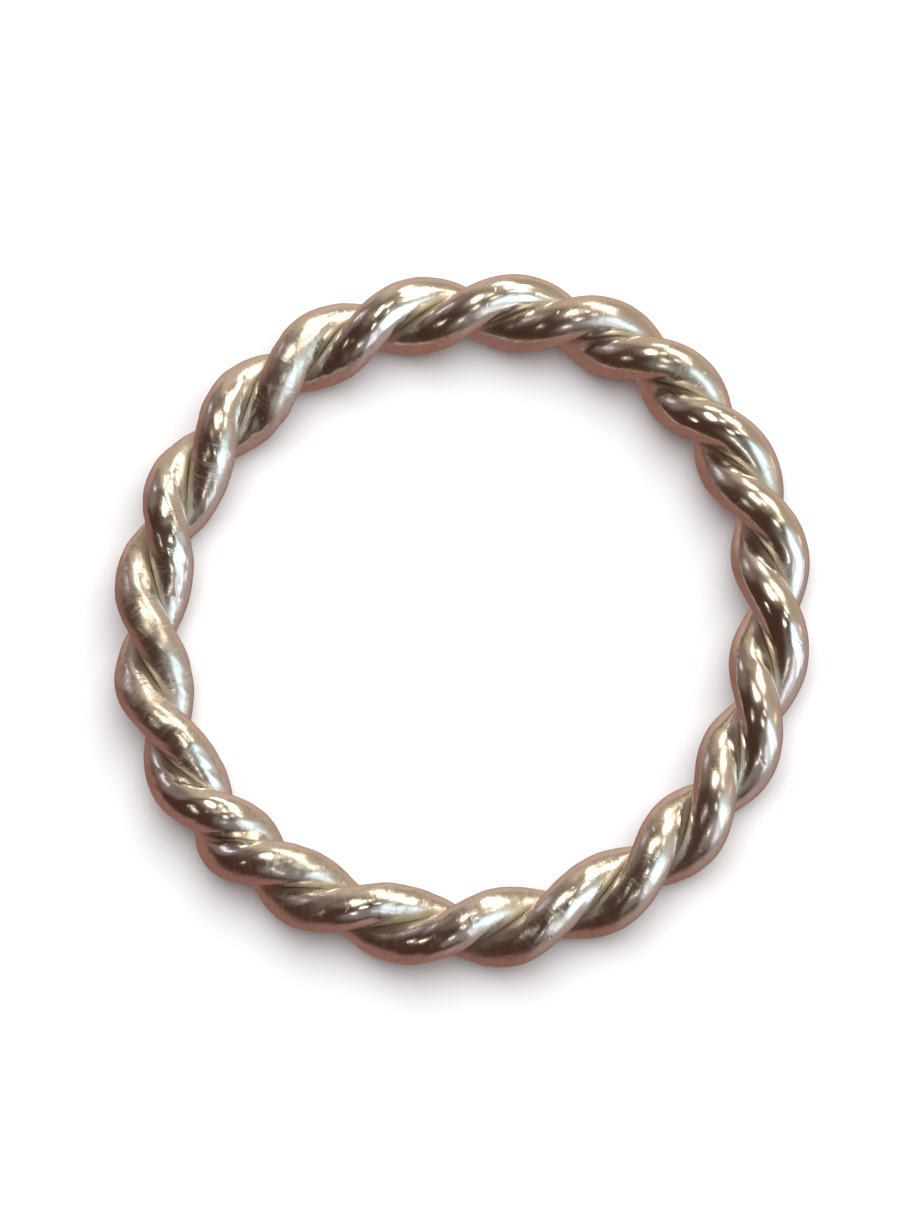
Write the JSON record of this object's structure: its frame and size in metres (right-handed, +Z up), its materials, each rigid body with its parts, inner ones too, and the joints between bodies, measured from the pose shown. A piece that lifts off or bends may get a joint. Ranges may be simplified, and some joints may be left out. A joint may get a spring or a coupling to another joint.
{
  "type": "rope twist ring",
  "caption": "Finger ring of two round polished wires twisted tightly around each other into a closed rope, lying flat.",
  "frame": {"origin": "centre of the ring's own box in plan, on the surface that the ring lies on", "axes": "+Z up through the finger hole, square to the plane of the ring; +Y towards the top of the picture"},
  "size_m": [0.0218, 0.022, 0.0025],
  "materials": {
    "silver": "polished silver, lightly worn, with fine scratches and tool marks"
  },
  "bodies": {
    "root": {"strand_one": "silver", "strand_two": "silver"}
  },
  "joints": []
}
